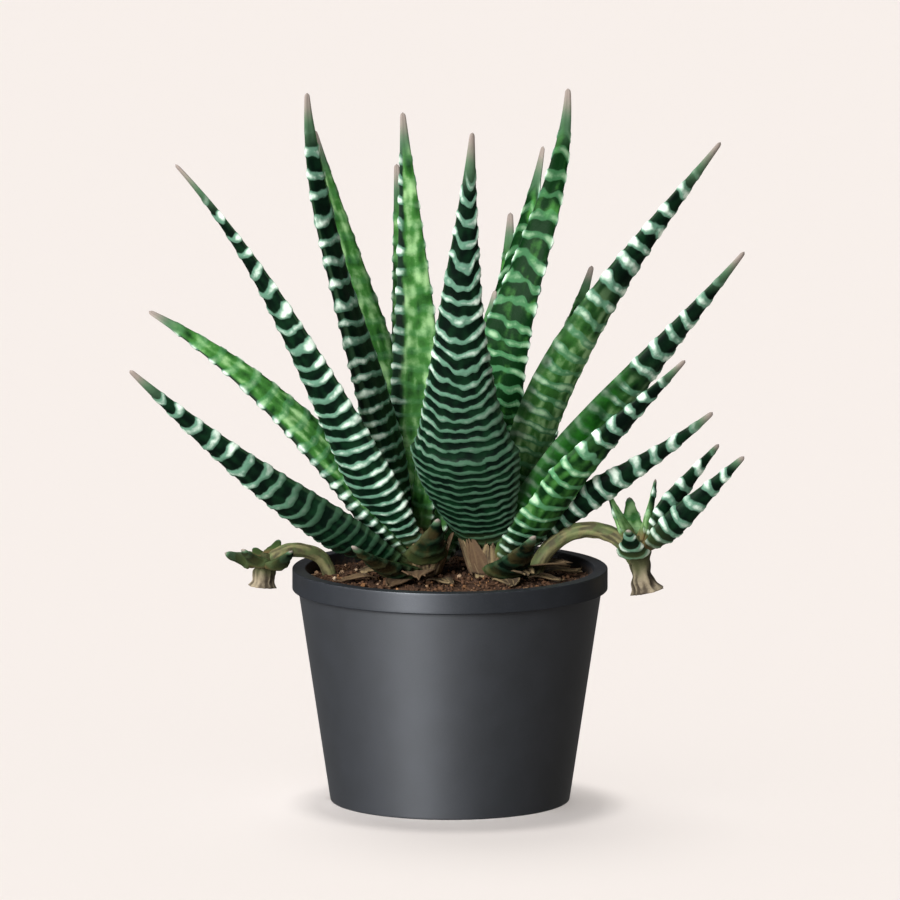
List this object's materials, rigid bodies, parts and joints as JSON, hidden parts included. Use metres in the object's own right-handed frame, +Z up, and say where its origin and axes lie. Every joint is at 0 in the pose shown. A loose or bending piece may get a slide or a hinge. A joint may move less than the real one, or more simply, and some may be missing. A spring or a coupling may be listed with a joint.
{
  "type": "potted haworthia",
  "caption": "Clump of banded zebra haworthia rosettes with small offsets over the rim, in a tapered round charcoal plastic pot of potting mix",
  "frame": {"origin": "centre of the pot's underside, on the surface that the pot stands on", "axes": "+X to the picture's right, +Y away from the picture's viewer, +Z up along the pot's axis"},
  "size_m": [0.1745, 0.1238, 0.2033],
  "materials": {
    "pot": "satin",
    "potting_mix": "matte",
    "stem": "matte",
    "leaf": "satin",
    "dried_sheath": "matte"
  },
  "bodies": {
    "root": {"pot": "pot", "potting_mix": "potting_mix", "left_stem": "stem", "right_stem": "stem", "left_offset": "leaf", "right_offset": "leaf", "left_leaf_heart": "leaf", "right_leaf_heart": "leaf", "left_leaf_upright_back": "leaf", "left_leaf_upright_left": "leaf", "right_leaf_upright_right": "leaf", "right_leaf_upright_back": "leaf", "left_leaf_back_left": "leaf", "left_leaf_left": "leaf", "left_leaf_back_right": "leaf", "right_leaf_great_front": "leaf", "right_leaf_right": "leaf", "left_leaf_back": "leaf", "left_leaf_front": "leaf", "left_leaf_arching_left": "leaf", "right_leaf_back": "leaf", "right_leaf_broad_right": "leaf", "right_leaf_back_right": "leaf", "right_leaf_slender_right": "leaf", "left_leaf_low_back_left": "leaf", "left_leaf_low_front_left": "leaf", "right_leaf_low_right": "leaf", "right_leaf_low_back_right": "leaf", "left_leaf_low_back": "leaf", "left_leaf_low_back_right": "leaf", "left_leaf_low_front": "leaf", "right_leaf_low_back": "leaf", "right_leaf_low_front": "leaf", "left_sheaths": "dried_sheath", "right_sheaths": "dried_sheath"}
  },
  "joints": []
}
